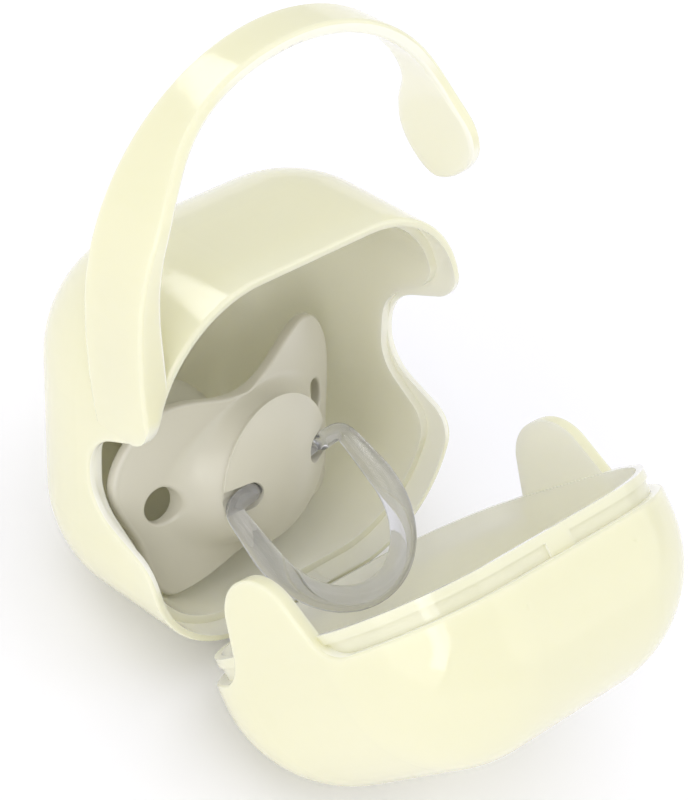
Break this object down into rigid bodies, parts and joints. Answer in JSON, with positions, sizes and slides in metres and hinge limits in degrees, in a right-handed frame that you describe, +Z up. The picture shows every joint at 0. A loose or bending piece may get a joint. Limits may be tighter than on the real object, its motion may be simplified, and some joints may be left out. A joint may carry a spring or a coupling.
{
  "type": "pacifier sterilizer case",
  "caption": "Rounded cube case in two hinged shells with an interlocking flared seam and a moulded hook handle, standing open on its bellies with a pacifier with a swinging ring inside.",
  "frame": {"origin": "middle of the open set's footprint, at the level of the surface it stands on", "axes": "+Z up, +X to the right seen from the open front, +Y towards the back of the case; the open lid lies towards -Y"},
  "size_m": [0.0696, 0.101, 0.0979],
  "materials": {
    "case_plastic": "polished pale cream polypropylene",
    "pacifier_plastic": "semi-gloss greige plastic",
    "ring_plastic": "smoky transparent plastic",
    "silicone": "milky translucent silicone",
    "pin_steel": "bright steel"
  },
  "bodies": {
    "case_back": {"back_shell": "case_plastic", "hinge_pin": "pin_steel", "pacifier_shield": "pacifier_plastic", "pacifier_knob": "pacifier_plastic", "pacifier_teat": "silicone", "pacifier_plug": "pacifier_plastic"},
    "front_cover": {"front_shell": "case_plastic"},
    "pull_ring": {"pacifier_ring": "ring_plastic"}
  },
  "joints": [
    {"name": "cover_hinge", "type": "hinge", "parent": "case_back", "child": "front_cover", "pos_m": [-0.0008, -0.00069, 0.00272], "axis": [1, 0, 0], "range_deg": [-50.8, 60]},
    {"name": "ring_swing", "type": "hinge", "parent": "case_back", "child": "pull_ring", "pos_m": [-0.00221, 0.01207, 0.02649], "axis": [-0.9905, -0.1372, 0.0034], "range_deg": [-4, 110]}
  ]
}
